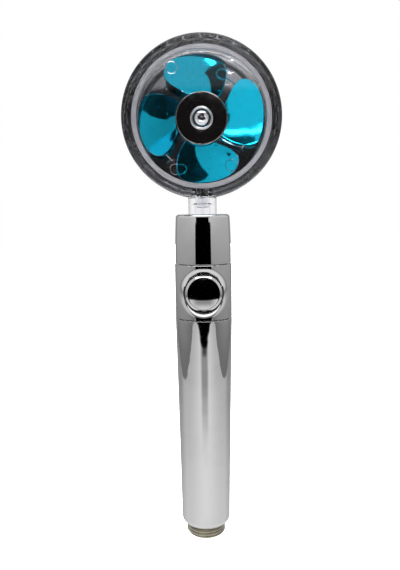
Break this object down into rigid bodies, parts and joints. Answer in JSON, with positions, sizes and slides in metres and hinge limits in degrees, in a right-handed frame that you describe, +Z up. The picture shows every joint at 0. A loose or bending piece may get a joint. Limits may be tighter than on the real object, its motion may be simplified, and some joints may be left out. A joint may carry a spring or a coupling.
{
  "type": "handheld shower head",
  "caption": "Handheld shower head: clear round head with a spinning mirror propeller, swivel neck, stop button and tapered chrome handle with a half-inch inlet thread.",
  "frame": {"origin": "centre of the inlet thread's end face, on the handle's axis", "axes": "+Z up along the handle towards the head, jets and button facing -Y, +X to the right seen from the jets' side"},
  "size_m": [0.08, 0.0306, 0.2634],
  "materials": {
    "chrome_plate": "bright mirror chrome on moulded plastic, with fine handling marks",
    "clear_plastic": "clear moulded polycarbonate, glossy",
    "teal_mirror": "teal tinted mirror plating",
    "dark_mirror": "black tinted mirror plating",
    "silicone": "pale grey satin silicone",
    "black_rubber": "matt black rubber",
    "white_plastic": "off-white satin moulding",
    "black_plastic": "black satin moulding",
    "nickel_plate": "nickel plated brass, slightly warm",
    "stainless_steel": "drawn stainless steel"
  },
  "bodies": {
    "handle": {"swivel_collar": "chrome_plate", "swivel_bush": "white_plastic", "slip_washer": "white_plastic", "collar_seal": "black_rubber", "button_housing": "chrome_plate", "valve_body": "white_plastic", "button_guide": "black_plastic", "valve_gland": "white_plastic", "gland_o_ring": "black_rubber", "button_spring": "stainless_steel", "handle_shell": "chrome_plate", "water_tube": "white_plastic", "tube_upper_seal": "black_rubber", "tube_lower_seal": "black_rubber", "inlet_connector": "nickel_plate", "flow_restrictor": "white_plastic", "inlet_screen": "stainless_steel"},
    "head": {"spray_cap": "clear_plastic", "cap_seal": "silicone", "head_body": "clear_plastic", "back_cover": "chrome_plate", "jet_nozzle": "clear_plastic", "axle_pin": "stainless_steel", "thrust_washer": "white_plastic", "stem_o_ring_lower": "black_rubber", "stem_o_ring_upper": "black_rubber", "retaining_clip": "stainless_steel"},
    "propeller": {"impeller": "teal_mirror", "impeller_bush": "white_plastic", "hub_cap": "dark_mirror", "hub_ring": "chrome_plate", "hub_dome": "chrome_plate"},
    "button": {"push_button": "chrome_plate", "latch_ring": "white_plastic", "valve_stem": "stainless_steel", "valve_disc": "black_rubber"}
  },
  "joints": [
    {"name": "head_swivel", "type": "hinge", "parent": "handle", "child": "head", "pos_m": [0, 0, 0.165], "axis": [0, 0, 1], "continuous": true},
    {"name": "propeller_spin", "type": "hinge", "parent": "head", "child": "propeller", "pos_m": [0, 0, 0.2234], "axis": [0, 1, 0], "continuous": true},
    {"name": "button_press", "type": "slide", "parent": "handle", "child": "button", "axis": [0, 1, 0], "range_m": [0, 0.0028], "stiffness_N_per_m": 900, "springref_m": -0.002, "deforming": ["button_spring"]}
  ]
}
